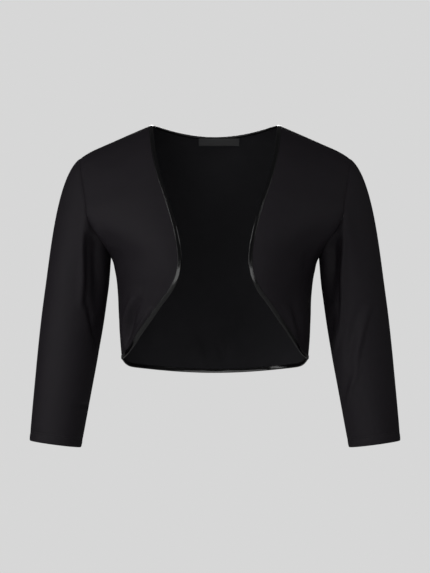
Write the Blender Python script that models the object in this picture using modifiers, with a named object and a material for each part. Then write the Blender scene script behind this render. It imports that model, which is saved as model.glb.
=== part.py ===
"""Open-fronted bolero jacket with set-in three-quarter sleeves and a satin-bound edge, as it stands when worn.

Metres, +Z up. The front faces -Y and the wearer's left is +X. The origin is on the wearer's shoulders:
midway between the two points where a shoulder seam meets the neckline.

The body is drawn on one smooth form. A point of the form has an angle, 0 on the centre line and 90 degrees
at the side seam, and a length down, measured over the cloth from the shoulder seam. Each panel is a patch
between two edges of that form, and every wall is the patch and the same patch moved inwards.
"""

import math

import bmesh
import bpy
import numpy as np

MM = 0.001

# Cloth and seams
CLOTH = 1.4 * MM
SEAM_GAP = 0.3 * MM
BINDING_WIDTH = 6.0 * MM
CUFF_HEM_DEPTH = 14.0 * MM
CUFF_HEM_CLOTH = 2.4 * MM

# Body, as rings from the shoulder seam down; slope is the share of the shoulder's fall that a ring takes
NECK_HALF = 0.0905
SHOULDER_HALF = 0.196
TOP_RING_HALF = 0.222
SHOULDER_FALL = 0.435
NECK_EASE = 0.012
TIP_ROUND_FROM = 0.172
TIP_ROUND = 6.0
FRONT_SQUARE = 0.20
BACK_SQUARE = 0.28
RING_COLUMNS = ("height", "half_width", "front", "back", "slope")
RINGS = np.array([
    (0.000, TOP_RING_HALF, 0.000, 0.000, 1.00),
    (-0.010, 0.2220, 0.024, 0.030, 1.00),
    (-0.035, 0.2210, 0.050, 0.060, 0.96),
    (-0.075, 0.2180, 0.076, 0.086, 0.76),
    (-0.115, 0.2120, 0.095, 0.101, 0.42),
    (-0.150, 0.1930, 0.106, 0.107, 0.14),
    (-0.172, 0.1700, 0.111, 0.108, 0.03),
    (-0.194, 0.1510, 0.113, 0.107, 0.00),
    (-0.215, 0.1450, 0.113, 0.105, 0.00),
    (-0.245, 0.1410, 0.110, 0.101, 0.00),
    (-0.280, 0.1392, 0.104, 0.095, 0.00),
    (-0.312, 0.1378, 0.099, 0.091, 0.00),
    (-0.342, 0.1355, 0.096, 0.088, 0.00),
    (-0.370, 0.1340, 0.094, 0.087, 0.00),
    (-0.400, 0.1330, 0.093, 0.087, 0.00),
])
UNDERARM_HEIGHT = -0.194
SIDE_HEM_HEIGHT = -0.342
BACK_HEM_HEIGHT = -0.365
HEM_CORNER_SHARE = 0.48
HEM_CORNER_POWER = 34
NECK_DROP = 0.0155
NECK_CURVE_POWER = 1.9
BUST = {"x": 0.082, "height": -0.196, "wide": 0.052, "high": 0.062, "fullness": 0.014}

# Front opening: half the gap between the two bound edges, from the neck to the side seam
FRONT_EDGE_COLUMNS = ("height", "half_gap")
FRONT_EDGE = np.array([
    (0.000, NECK_HALF),
    (-0.048, 0.0835),
    (-0.080, 0.0755),
    (-0.113, 0.0645),
    (-0.148, 0.0540),
    (-0.178, 0.0480),
    (-0.203, 0.0465),
    (-0.222, 0.0500),
    (-0.243, 0.0600),
    (-0.262, 0.0745),
    (-0.283, 0.0895),
    (-0.303, 0.1040),
    (-0.322, 0.1170),
    (-0.336, 0.1285),
    (-0.342, 0.1355),
])
FRONT_CORNER_FROM_SIDE = 0.038

# Armhole: how far its edge comes in from the side of the form, in degrees
TIP_ANGLE_IN = 90 - math.degrees(math.asin(SHOULDER_HALF / TOP_RING_HALF))
FRONT_SCOOP = 9.0
BACK_SCOOP = 6.0

# Sleeve: rings square to its line, by the distance that they lie below the bicep ring
BICEP_X = 0.2005
BICEP_HEIGHT = -0.235
SLEEVE_SPLAY = 0.134
SLEEVE_COLUMNS = ("drop", "forward", "half_width", "half_depth")
SLEEVE_RINGS = np.array([
    (0.000, -0.002, 0.0457, 0.0490),
    (0.048, 0.000, 0.0455, 0.0482),
    (0.095, 0.005, 0.0440, 0.0465),
    (0.142, 0.010, 0.0418, 0.0443),
    (0.189, 0.0135, 0.0396, 0.0418),
    (0.2285, 0.0148, 0.0376, 0.0395),
])
CAP_START_REACH = 0.61
CAP_END_REACH = 1.0
MITRE_LIMIT = 2.4

# Folds of the cloth: side +1 is the wearer's left; bend bows the line sideways; rise is out of the cloth,
# and negative for a trough
FOLD_COLUMNS = ("side", "from_across", "from_height", "to_across", "to_height", "bend", "wide", "rise")
FRONT_FOLDS = (
    (-1, 0.1165, -0.256, 0.1305, -0.328, 0.0037, 0.0050, 0.0034),
    (-1, 0.1060, -0.258, 0.1280, -0.331, 0.0040, 0.0058, -0.0046),
    (-1, 0.0950, -0.280, 0.1250, -0.334, 0.0030, 0.0048, 0.0030),
    (-1, 0.0575, -0.242, 0.1180, -0.324, 0.0000, 0.0065, -0.0014),
    (-1, 0.1740, -0.146, 0.1420, -0.182, 0.0040, 0.0085, 0.0022),
    (1, 0.1780, -0.140, 0.1400, -0.186, 0.0000, 0.0090, 0.0028),
    (1, 0.1330, -0.190, 0.1340, -0.262, 0.0000, 0.0095, -0.0034),
    (1, 0.0575, -0.242, 0.1180, -0.324, 0.0000, 0.0065, -0.0014),
    (1, 0.0990, -0.262, 0.1230, -0.318, 0.0010, 0.0065, 0.0024),
    (1, 0.1120, -0.262, 0.1290, -0.328, 0.0000, 0.0062, -0.0028),
)
BACK_FOLDS = (
    (1, 0.0300, -0.300, 0.0220, -0.380, 0.000, 0.0140, -0.0030),
    (1, 0.0850, -0.270, 0.1000, -0.370, 0.002, 0.0140, 0.0030),
    (1, 0.1050, -0.165, 0.1260, -0.260, -0.003, 0.0120, -0.0035),
    (1, 0.1350, -0.135, 0.1120, -0.210, 0.000, 0.0110, 0.0025),
)
# On a sleeve, across is the angle round it: 0 outside, 90 front, 180 inside
SLEEVE_FOLDS = (
    (-1, 97, -0.160, 105, -0.262, 0.000, 0.0065, 0.0030),
    (-1, 109, -0.165, 114, -0.258, 0.000, 0.0070, -0.0038),
    (-1, 126, -0.155, 142, -0.262, 0.000, 0.0140, -0.0070),
    (-1, 114, -0.254, 151, -0.318, -0.001, 0.0075, -0.0036),
    (-1, 116, -0.4095, 176, -0.4085, 0.000, 0.0045, -0.0020),
    (-1, 215, -0.190, 205, -0.330, 0.003, 0.0130, -0.0045),
    (-1, 262, -0.170, 236, -0.270, 0.000, 0.0110, -0.0030),
    (1, 106, -0.165, 116, -0.255, 0.000, 0.0065, 0.0030),
    (1, 118, -0.172, 130, -0.276, 0.000, 0.0075, -0.0036),
    (1, 130, -0.150, 146, -0.250, 0.000, 0.0140, -0.0080),
    (1, 115, -0.248, 127, -0.294, 0.000, 0.0060, 0.0024),
    (1, 126, -0.290, 162, -0.338, -0.001, 0.0065, 0.0028),
    (1, 67, -0.262, 112, -0.362, 0.003, 0.0075, 0.0028),
    (1, 85, -0.262, 126, -0.350, 0.002, 0.0085, -0.0026),
    (1, 106, -0.357, 146, -0.411, 0.001, 0.0075, 0.0026),
    (1, 213, -0.195, 208, -0.320, -0.003, 0.0130, -0.0045),
    (1, 255, -0.180, 240, -0.290, 0.000, 0.0110, -0.0030),
)
SLEEVE_FOLD_RADIUS = 0.045
FOLD_FADE = 0.009

# Neck label, sewn inside the back over the lower edge of the binding
LABEL_WIDTH = 0.060
LABEL_HEIGHT = 0.015
LABEL_CLOTH = 0.8 * MM
LABEL_OFF_CENTRE = 0.006
LABEL_BELOW_EDGE = 1.0 * MM
LABEL_INSIDE = CLOTH + 1.2 * MM

# Section of the binding, folded over the edge: share of its width in from the fold, height off the cloth
BINDING_SECTION = (
    (1.00, 0.4 * MM),
    (0.55, 0.7 * MM),
    (0.12, 0.2 * MM),
    (0.00, -0.7 * MM),
    (0.12, -1.6 * MM),
    (0.55, -2.1 * MM),
    (1.00, -1.8 * MM),
)

# Mesh counts
SIDE_ROWS = 10
ARMHOLE_ROWS = 16
NECK_ROWS = 11
FRONT_SPACES = 11
BACK_SPACES = 12
CAP_ROWS = 9
ARM_ROWS = 9
FINE = 400
STEP = 1e-4
QUARTER = math.pi / 2
SIDE_SEAM_ANGLE = QUARTER - 0.5 * SEAM_GAP / 0.09
EXTENSION = 40


def unit(vectors):
    return vectors / np.linalg.norm(vectors, axis=-1, keepdims=True)


def smooth_curve(knots, values, at):
    """Cubic through the values at uneven knots, with slopes taken from the neighbours on each side."""
    slopes = np.gradient(values, knots, axis=0)
    at = np.asarray(at, float)
    i = np.clip(np.searchsorted(knots, at, side="right") - 1, 0, len(knots) - 2)
    span = knots[i + 1] - knots[i]
    t = (at - knots[i]) / span
    if values.ndim > 1:
        t, span = t[..., None], span[..., None]
    start = (2 * t**3 - 3 * t**2 + 1) * values[i] + (t**3 - 2 * t**2 + t) * span * slopes[i]
    return start + (3 * t**2 - 2 * t**3) * values[i + 1] + (t**3 - t**2) * span * slopes[i + 1]


def run_length(points):
    """Length along a line of points, from its first."""
    return np.concatenate([[0], np.cumsum(np.linalg.norm(np.diff(points, axis=0), axis=1))])


# The form: the rings run on over the shoulder seam, front into back, so the cloth rounds over it


def ring_knots():
    depth = (RINGS[:, 2] + RINGS[:, 3]) / 2
    down = run_length(np.column_stack([RINGS[:, 0], depth]))
    return np.concatenate([-down[:0:-1], down])


KNOTS = ring_knots()


def ring(column, down):
    """One column of the rings at a length down the cloth, carried over the shoulder to the other side."""
    values = RINGS[:, RING_COLUMNS.index(column)]
    other = {"front": "back", "back": "front"}.get(column)
    if other:
        beyond = -RINGS[:, RING_COLUMNS.index(other)]
    else:
        beyond = values
    return smooth_curve(KNOTS, np.concatenate([beyond[:0:-1], values]), down)


def shoulder_drop(x):
    """Fall of the shoulder line outwards from the neck, eased in at the neck and rounded at the tip."""
    out = np.abs(x) - NECK_HALF
    eased = np.where(out < -NECK_EASE, 0, (out + NECK_EASE) ** 2 / (4 * NECK_EASE))
    run = np.where(out > NECK_EASE, out, eased)
    return -SHOULDER_FALL * run - TIP_ROUND * np.maximum(np.abs(x) - TIP_ROUND_FROM, 0) ** 2


def torso(angle, down, front):
    """Point of the form: a squared ellipse at each length down, filled out at the bust."""
    x = ring("half_width", down) * np.sin(angle)
    square = FRONT_SQUARE if front else BACK_SQUARE
    y = ring("front" if front else "back", down) * np.cos(angle) * (1 + square * np.sin(angle) ** 2)
    z = ring("height", down) + ring("slope", down) * shoulder_drop(x)
    if front:
        across = (np.abs(x) - BUST["x"]) / BUST["wide"]
        along = (z - BUST["height"]) / BUST["high"]
        y = -y - BUST["fullness"] * np.exp(-across**2 - along**2) * np.cos(angle)
    return np.stack(np.broadcast_arrays(x, y, z), axis=-1)


def torso_slopes(angle, down, front):
    by_angle = torso(angle + STEP, down, front) - torso(angle - STEP, down, front)
    by_down = torso(angle, down + STEP, front) - torso(angle, down - STEP, front)
    return by_angle / (2 * STEP), by_down / (2 * STEP)


def torso_normal(angle, down, front):
    by_angle, by_down = torso_slopes(angle, down, front)
    return unit(np.cross(by_angle, by_down)) * (-1 if front else 1)


def down_at(height):
    """Length down the cloth of the ring at a height."""
    down = np.linspace(0, KNOTS[-1], FINE)
    return np.interp(-np.asarray(height), -ring("height", down), down)


# Edges, as lines of (angle, down) on the form


def even(curve, front, count):
    """The line again with a number of evenly spaced points, by length on the cloth."""
    length = run_length(torso(curve[:, 0], curve[:, 1], front))
    at = np.linspace(0, length[-1], count)
    return np.column_stack([np.interp(at, length, curve[:, k]) for k in (0, 1)])


def edge_line(outline, front, turn, distance, shares):
    """Points at shares of the length of an outline moved over the cloth, square to itself.

    Turn +1 or -1 says to which hand. The outline is first drawn on past its ends, so that the moved line
    still runs right up to the seams there, and both are cut back to half a seam gap from them.
    """
    runs_on = (outline[0] - outline[1]) * EXTENSION, (outline[-1] - outline[-2]) * EXTENSION
    start = outline[0] + runs_on[0] * np.linspace(1, 0, EXTENSION, endpoint=False)[:, None]
    end = outline[-1] + runs_on[1] * np.linspace(0, 1, EXTENSION + 1)[1:, None]
    curve = np.vstack([start, outline, end])
    angle, down = curve.T
    along = unit(np.gradient(torso(angle, down, front), axis=0))
    into = np.cross(torso_normal(angle, down, front), along) * turn
    by_angle, by_down = torso_slopes(angle, down, front)
    aa, ad, dd = ((a * b).sum(1) for a, b in ((by_angle, by_angle), (by_angle, by_down), (by_down, by_down)))
    into_angle, into_down = (into * by_angle).sum(1), (into * by_down).sum(1)
    moved = np.column_stack([into_angle * dd - into_down * ad, into_down * aa - into_angle * ad])
    moved = curve + distance * moved / (aa * dd - ad**2)[:, None]
    room = np.minimum(SIDE_SEAM_ANGLE - np.abs(moved[:, 0]), (moved[:, 1] - SEAM_GAP / 2) * 10)
    inside = np.flatnonzero(room > 0)
    number = np.arange(len(room))
    first, last = inside[0], inside[-1]
    t0 = np.interp(0, room[[first - 1, first]], number[[first - 1, first]])
    t1 = np.interp(0, room[[last + 1, last]], number[[last + 1, last]])
    at = t0 + (t1 - t0) * np.asarray(shares)
    return np.column_stack([np.interp(at, number, moved[:, k]) for k in (0, 1)])


def front_outline():
    """The bound front edge, from the side seam round to the neck."""
    length = run_length(FRONT_EDGE)
    height, gap = smooth_curve(length, FRONT_EDGE, np.linspace(length[-1], 0, FINE)).T
    down = down_at(height)
    angle = np.arcsin(np.clip(gap / ring("half_width", down), 0, 1))
    return even(np.column_stack([angle, down]), True, FINE)


def hem_outline():
    """The bound back hem from one side seam to the other."""
    angle = np.linspace(-QUARTER, QUARTER, 2 * FINE + 1)
    across = np.sin(angle) ** 2
    rise = (1 - HEM_CORNER_SHARE) * across + HEM_CORNER_SHARE * across ** (HEM_CORNER_POWER / 2)
    down = down_at(BACK_HEM_HEIGHT + (SIDE_HEM_HEIGHT - BACK_HEM_HEIGHT) * rise)
    return even(np.column_stack([angle, down]), False, 2 * FINE + 1)


def neck_outline():
    """The bound back neck from one shoulder seam to the other."""
    x = NECK_HALF * np.sin(np.linspace(-QUARTER, QUARTER, 2 * FINE + 1))
    down = down_at(-NECK_DROP * (1 - (np.abs(x) / NECK_HALF) ** NECK_CURVE_POWER))
    angle = np.arcsin(x / ring("half_width", down))
    return even(np.column_stack([angle, down]), False, 2 * FINE + 1)


def armhole(share, front):
    """The armhole edge at a share of its way from the underarm to the shoulder tip."""
    scoop = FRONT_SCOOP if front else BACK_SCOOP
    inwards = TIP_ANGLE_IN * np.sin(share * QUARTER) + scoop * np.sin(share * math.pi) ** 2
    return np.column_stack([QUARTER - np.radians(inwards), UNDERARM_DOWN * np.cos(share * QUARTER)])


def even_armhole(front, count):
    """Armhole points evenly spaced by length, from the underarm to the tip."""
    return even(armhole(np.linspace(0, 1, FINE), front), front, count)


UNDERARM_DOWN = float(down_at(UNDERARM_HEIGHT))


# Panels


def lateral_edge(bottom_down, front):
    """Side seam from a bottom point up to the underarm, then the armhole up to the shoulder tip."""
    side_down = np.linspace(bottom_down, UNDERARM_DOWN, SIDE_ROWS + 1)[:-1]
    side = np.column_stack([np.full(SIDE_ROWS, QUARTER), side_down])
    edge = np.vstack([side, even_armhole(front, ARMHOLE_ROWS + 1)])
    edge[:, 0] = np.minimum(edge[:, 0], SIDE_SEAM_ANGLE)
    edge[:, 1] = np.maximum(edge[:, 1], SEAM_GAP / 2)
    return edge


def patch(medial, lateral, bottom):
    """Grid of (angle, down) from a medial to a lateral edge, with its lowest row along a given line."""
    rows, columns = len(medial), len(bottom)
    s = np.linspace(0, 1, columns)[None, :, None]
    v = np.linspace(0, 1, rows)[:, None, None]
    straight = (1 - s) * medial[:, None] + s * lateral[:, None]
    return straight + (1 - v) ** 2 * (bottom[None] - straight[:1])


def fold_rise(folds, side, across, height):
    """Sum of the folds at points given by a length across and a height.

    A fold is a bell-shaped rise about a line, which may bow to one side, and it is deepest at its middle.
    """
    total = np.zeros(np.broadcast(across, height).shape)
    for fold_side, x0, z0, x1, z1, bend, wide, rise in folds:
        if fold_side != side:
            continue
        dx, dz = x1 - x0, z1 - z0
        length = math.hypot(dx, dz)
        share = ((across - x0) * dx + (height - z0) * dz) / length**2
        on = np.clip(share, 0, 1)
        off = ((height - z0) * dx - (across - x0) * dz) / length - bend * 4 * on * (1 - on)
        away = np.hypot(off, (share - on) * length) / wide
        total += rise * (0.35 + 0.65 * np.sin(on * math.pi)) * np.exp(-(away**2))
    return total


def seam_fade(points, seams):
    """0 on the seams and 1 a little away from them; folds leave these alone and run over the bound edges."""
    fade = np.ones(points.shape[:-1])
    for seam in seams:
        off = np.linalg.norm(points - seam, axis=-1)
        fade *= 1 - np.exp(-((off / FOLD_FADE) ** 2))
    return fade


def folded(points, normals, folds, side, seams):
    """Points of the body moved along its normals by the folds."""
    rise = fold_rise(folds, side, np.abs(points[..., 0]), points[..., 2]) * seam_fade(points, seams)
    return points + normals * rise[..., None]


def seam_mitre(own, other):
    """Direction that parts two walls at a seam, longer where they meet at an angle."""
    both = own + other
    size = np.linalg.norm(both, axis=-1, keepdims=True)
    return both / size * np.minimum(2 / size, MITRE_LIMIT)


def panel_walls(grid, front, side, folds):
    """Outer and inner points of a body panel on a grid of (angle, down)."""
    angle, down = grid[..., 0], grid[..., 1]
    form = torso(angle, down, front)
    normals = torso_normal(angle, down, front)
    outer = folded(form, normals, folds, side, (form[:, -1:], form[-1:]))
    normals[SIDE_ROWS:, -1] = armhole_mitre(front)
    return outer, outer - normals * CLOTH


FRONT_OUTLINE = front_outline()
HEM_OUTLINE = hem_outline()
NECK_OUTLINE = neck_outline()


def front_shares():
    """Shares of the front outline at which its points lie, with one of them at the lower corner."""
    length = run_length(torso(FRONT_OUTLINE[:, 0], FRONT_OUTLINE[:, 1], True))[-1]
    corner = FRONT_CORNER_FROM_SIDE / length
    low = np.linspace(0, corner, FRONT_SPACES + 1)
    high = np.linspace(corner, 1, SIDE_ROWS + ARMHOLE_ROWS + 1)
    return np.concatenate([low, high[1:]])


def front_panel(side):
    edge = edge_line(FRONT_OUTLINE, True, -1, BINDING_WIDTH + SEAM_GAP, front_shares())
    bottom = edge[: FRONT_SPACES + 1][::-1]
    medial = edge[FRONT_SPACES:]
    grid = patch(medial, lateral_edge(bottom[-1, 1], True), bottom)
    return panel_walls(grid, True, side, FRONT_FOLDS)


def back_panel():
    """Half of the back; its edge on the centre line runs from the hem up to the neck."""
    neck = edge_line(NECK_OUTLINE, False, 1, BINDING_WIDTH + SEAM_GAP, np.linspace(0.5, 1, NECK_ROWS + 1))
    bottom = edge_line(HEM_OUTLINE, False, -1, BINDING_WIDTH + SEAM_GAP, np.linspace(0.5, 1, BACK_SPACES + 1))
    neck[0, 0] = bottom[0, 0] = 0
    centre_rows = SIDE_ROWS + ARMHOLE_ROWS - NECK_ROWS
    centre_down = np.linspace(bottom[0, 1], neck[0, 1], centre_rows + 1)[:-1]
    medial = np.vstack([np.column_stack([np.zeros(centre_rows), centre_down]), neck])
    grid = patch(medial, lateral_edge(bottom[-1, 1], False), bottom)
    return panel_walls(grid, False, 1, BACK_FOLDS)


# Sleeves


def sleeve_ring(drop, turn):
    """Points of the sleeve below the bicep; turn 0 is outside, 90 degrees front, 180 degrees inside."""
    forward, half_width, half_depth = (
        smooth_curve(SLEEVE_RINGS[:, 0], SLEEVE_RINGS[:, k], drop) for k in (1, 2, 3)
    )
    lean = np.gradient(SLEEVE_RINGS[:, 1], SLEEVE_RINGS[:, 0])
    lean = smooth_curve(SLEEVE_RINGS[:, 0], lean, drop)
    centre = np.stack([BICEP_X + SLEEVE_SPLAY * drop, -forward, BICEP_HEIGHT - drop], -1)
    line = unit(np.stack([np.full_like(drop, SLEEVE_SPLAY), -lean, -np.ones_like(drop)], -1))
    outwards = unit(np.stack([-line[..., 2], np.zeros_like(drop), line[..., 0]], -1))
    forwards = np.cross(line, outwards)
    wide = (half_width * np.cos(turn))[..., None] * outwards
    return centre + wide + (half_depth * np.sin(turn))[..., None] * forwards


def armhole_ring(turn):
    """Points of the armhole seam for turns 0 to 360 degrees, from the tip by the front, and the body's normals."""
    share = 1 - np.abs(turn / math.pi - 1)
    points = np.empty((len(turn), 3))
    normals = np.empty((len(turn), 3))
    for front in (True, False):
        mine = (turn <= math.pi) == front
        run = even_armhole(front, FINE)
        at = 1 - share[mine]
        angle, down = (np.interp(at, np.linspace(0, 1, FINE), run[:, k]) for k in (0, 1))
        points[mine] = torso(angle, down, front)
        normals[mine] = torso_normal(angle, down, front)
    return points, normals


def cap_start(turn):
    """Direction in which the sleeve leaves the armhole: outwards over the shoulder, downwards under the arm."""
    over = (0.5 + 0.5 * np.cos(turn)) ** 0.8
    start = np.stack([0.10 + 0.80 * over, -0.16 * np.sin(turn), -(1.0 - 0.36 * over)], -1)
    return unit(start)


def sleeve_cap(share, turn):
    """Points between the armhole, share 0, and the bicep ring, share 1: one cubic down each turn."""
    start, _ = armhole_ring(turn)
    start = start + np.array([SEAM_GAP * 1.4, 0, 0])
    zero = np.zeros_like(turn)
    end = sleeve_ring(zero, turn)
    leave = unit(sleeve_ring(zero + STEP * 10, turn) - end)
    reach = np.linalg.norm(end - start, axis=-1, keepdims=True)
    t = share[:, None, None]
    begin = (2 * t**3 - 3 * t**2 + 1) * start + (t**3 - 2 * t**2 + t) * cap_start(turn) * reach * CAP_START_REACH
    return begin + (3 * t**2 - 2 * t**3) * end + (t**3 - t**2) * leave * reach * CAP_END_REACH


def tube_normals(points):
    """Outward unit normals of a sleeve's grid, rows downwards and columns from the outside by the front."""
    by_row = np.gradient(points, axis=0)
    by_column = (np.roll(points, -1, axis=1) - np.roll(points, 1, axis=1)) / 2
    return unit(np.cross(by_column, by_row))


def sleeve_turns(count):
    return np.arange(count) * 2 * math.pi / count


def sleeve_start_normals(turn):
    fine = sleeve_cap(np.array([0.0, 0.01]), turn)
    return tube_normals(fine)[0]


def armhole_mitre(front):
    """Wall direction on a panel's armhole rows, from the underarm up, shared with the sleeve."""
    turn = sleeve_turns(2 * ARMHOLE_ROWS)
    _, body = armhole_ring(turn)
    both = seam_mitre(body, sleeve_start_normals(turn))
    if front:
        return both[: ARMHOLE_ROWS + 1][::-1]
    return np.vstack([both[ARMHOLE_ROWS:], both[:1]])


def sleeve_walls(side):
    """Outer and inner points of a sleeve, with its hem turned up inside the cuff."""
    turn = sleeve_turns(2 * ARMHOLE_ROWS)
    cap = sleeve_cap(np.linspace(0, 1, CAP_ROWS + 1), turn)
    length = SLEEVE_RINGS[-1, 0]
    hem_top = length - CUFF_HEM_DEPTH
    drops = np.concatenate([np.linspace(0, hem_top, ARM_ROWS)[1:], [hem_top + MM, length]])
    arm = np.stack([sleeve_ring(np.full_like(turn, drop), turn) for drop in drops])
    outer = np.concatenate([cap, arm])
    normals = tube_normals(outer)
    along = np.linalg.norm(outer - outer[:1], axis=-1)
    to_cuff = np.linalg.norm(outer - outer[-1:], axis=-1)
    fade = (1 - np.exp(-((along / FOLD_FADE) ** 2))) * (1 - np.exp(-((to_cuff / FOLD_FADE) ** 2)))
    degrees = np.broadcast_to(np.degrees(turn), along.shape)
    folds = [
        (f[0], math.radians(f[1]) * SLEEVE_FOLD_RADIUS, f[2], math.radians(f[3]) * SLEEVE_FOLD_RADIUS, *f[4:])
        for f in SLEEVE_FOLDS
    ]
    rise = fold_rise(folds, side, np.radians(degrees) * SLEEVE_FOLD_RADIUS, outer[..., 2]) * fade
    outer = outer + normals * rise[..., None]
    _, body = armhole_ring(turn)
    normals[0] = seam_mitre(body, normals[0])
    thick = np.full(len(outer), CLOTH)
    thick[-2:] = CUFF_HEM_CLOTH
    return outer, outer - normals * thick[:, None, None]


# Binding and label


def binding_rings(outline, front, turn, shares, side=1, folds=()):
    """Sections of a binding along an outline: a strip folded over the edge, as wide inside as outside."""
    lines = []
    for distance in (0, BINDING_WIDTH):
        line = edge_line(outline, front, turn, distance, shares)
        points = torso(line[:, 0], line[:, 1], front)
        normal = torso_normal(line[:, 0], line[:, 1], front)
        lines.append(folded(points, normal, folds, side, (points[0], points[-1])))
        if distance == 0:
            off_cloth = normal
    across = lines[1] - lines[0]
    return np.stack([lines[0] + across * share + off_cloth * rise for share, rise in BINDING_SECTION], axis=1)


def label_walls():
    """A small woven tape lying over the inside of the neck binding, on points of the back moved in."""
    x = np.linspace(-LABEL_WIDTH / 2, LABEL_WIDTH / 2, 9) + LABEL_OFF_CENTRE
    down = NECK_OUTLINE[FINE, 1] + LABEL_BELOW_EDGE + np.linspace(LABEL_HEIGHT, 0, 3)[:, None]
    down = down + 0 * x
    angle = np.arcsin(x / ring("half_width", down))
    cloth = torso(angle, down, False)
    normal = torso_normal(angle, down, False)
    return cloth - normal * LABEL_INSIDE, cloth - normal * (LABEL_INSIDE + LABEL_CLOTH)


# Meshes


def new_object(name, points, faces, material, side=1):
    """A smooth-shaded object from points and faces, mirrored for side -1, with its faces turned outwards."""
    points = points.reshape(-1, 3) * np.array([side, 1, 1])
    mesh = bpy.data.meshes.new(name)
    mesh.from_pydata(points.tolist(), [], faces)
    work = bmesh.new()
    work.from_mesh(mesh)
    bmesh.ops.recalc_face_normals(work, faces=work.faces)
    work.to_mesh(mesh)
    work.free()
    mesh.shade_smooth()
    mesh.set_sharp_from_angle(angle=math.radians(50))
    mesh.materials.append(material)
    obj = bpy.data.objects.new(name, mesh)
    garment.objects.link(obj)
    return obj


def grid_faces(index):
    """Four-sided faces over a grid of point numbers."""
    return np.stack([index[:-1, :-1], index[:-1, 1:], index[1:, 1:], index[1:, :-1]], -1).reshape(-1, 4)


def band_faces(line, other):
    """Four-sided faces between two lines of point numbers."""
    return np.stack([line[:-1], line[1:], other[1:], other[:-1]], -1)


def panel(name, walls, material, side=1, half=False):
    """A wall from two grids. A half is left open along its centre line, for its mirror image to join."""
    outer, inner = walls
    rows, columns = outer.shape[:2]
    index = np.arange(rows * columns).reshape(rows, columns)
    under = index + rows * columns
    faces = [grid_faces(index), grid_faces(under)[:, ::-1]]
    stop = rows - NECK_ROWS - 2 if half else 0
    border = np.concatenate([index[0, :-1], index[:-1, -1], index[-1, :0:-1], index[:stop:-1, 0]])
    if not half:
        border = np.append(border, border[0])
    faces.append(band_faces(border, border + rows * columns))
    obj = new_object(name, np.concatenate([outer, inner]), np.concatenate(faces).tolist(), material, side)
    if half:
        mirror = obj.modifiers.new("Mirror", "MIRROR")
        mirror.merge_threshold = 0.00005
        mirror.use_mirror_merge = True
    return obj


def sleeve(name, walls, material, side):
    """A tube wall from two grids that close on themselves."""
    outer, inner = walls
    rows, columns = outer.shape[:2]
    index = np.arange(rows * columns).reshape(rows, columns)
    index = np.column_stack([index, index[:, :1]])
    under = index + rows * columns
    faces = [grid_faces(index), grid_faces(under)[:, ::-1]]
    faces += [band_faces(under[0], index[0]), band_faces(index[-1], under[-1])]
    return new_object(name, np.concatenate([outer, inner]), np.concatenate(faces).tolist(), material, side)


def binding(name, rings, material, side=1):
    """A closed strip from its sections, with a cap at each end."""
    rows, columns = rings.shape[:2]
    index = np.arange(rows * columns).reshape(rows, columns)
    around = np.column_stack([index, index[:, :1]])
    faces = grid_faces(around).tolist() + [index[0].tolist(), index[-1, ::-1].tolist()]
    return new_object(name, rings, faces, material, side)


def finish(name, colour, roughness, sheen):
    material = bpy.data.materials.new(name)
    material.use_nodes = True
    shader = material.node_tree.nodes["Principled BSDF"]
    shader.inputs["Base Color"].default_value = (*colour, 1)
    shader.inputs["Roughness"].default_value = roughness
    shader.inputs["Metallic"].default_value = 0
    shader.inputs["Sheen Weight"].default_value = sheen
    return material


for obj in list(bpy.data.objects):
    bpy.data.objects.remove(obj)
garment = bpy.data.collections.new("bolero_jacket")
bpy.context.scene.collection.children.link(garment)

jersey = finish("black_jersey", (0.016, 0.015, 0.017), 0.75, 0.2)
satin = finish("black_satin", (0.012, 0.012, 0.013), 0.28, 0.0)
tape = finish("label_tape", (0.03, 0.03, 0.031), 0.5, 0.0)

panel("back", back_panel(), jersey, half=True)
for side, hand in ((1, "left"), (-1, "right")):
    panel(f"front_{hand}", front_panel(side), jersey, side)
    sleeve(f"sleeve_{hand}", sleeve_walls(side), jersey, side)
    rings = binding_rings(FRONT_OUTLINE, True, -1, front_shares(), side, FRONT_FOLDS)
    binding(f"binding_front_{hand}", rings, satin, side)
neck_shares = np.linspace(0, 1, 2 * NECK_ROWS + 1)
hem_shares = np.linspace(0, 1, 2 * BACK_SPACES + 1)
binding("binding_neck", binding_rings(NECK_OUTLINE, False, 1, neck_shares), satin)
binding("binding_hem", binding_rings(HEM_OUTLINE, False, -1, hem_shares, 1, BACK_FOLDS), satin)
panel("neck_label", label_walls(), tape)
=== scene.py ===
"""Black bolero jacket in viscose jersey with a satin-bound edge, standing as it does when worn.

Metres, +Z up. The front faces -Y, the wearer's left is +X, and the origin is midway between the two points
where a shoulder seam meets the neckline.
"""

import math

import bmesh
import bpy
import numpy as np
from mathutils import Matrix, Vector


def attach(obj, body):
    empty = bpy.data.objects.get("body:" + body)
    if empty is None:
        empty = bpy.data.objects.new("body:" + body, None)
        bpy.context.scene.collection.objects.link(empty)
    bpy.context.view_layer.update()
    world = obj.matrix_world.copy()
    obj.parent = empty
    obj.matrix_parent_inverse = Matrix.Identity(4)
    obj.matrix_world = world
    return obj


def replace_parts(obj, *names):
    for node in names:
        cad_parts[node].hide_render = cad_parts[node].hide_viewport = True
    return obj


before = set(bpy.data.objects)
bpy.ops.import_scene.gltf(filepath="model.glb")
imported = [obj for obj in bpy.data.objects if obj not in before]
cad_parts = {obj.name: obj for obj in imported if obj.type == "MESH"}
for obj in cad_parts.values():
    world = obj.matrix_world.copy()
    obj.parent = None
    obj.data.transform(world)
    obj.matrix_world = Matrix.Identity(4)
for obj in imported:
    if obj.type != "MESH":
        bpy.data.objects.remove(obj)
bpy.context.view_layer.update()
MM = 0.001


# The back panel
# One piece of fine black viscose jersey, cut on the fold and sewn to the fronts at the shoulders and the
# sides. It is drawn on the worn form, which all four body pieces and the bindings share.

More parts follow.
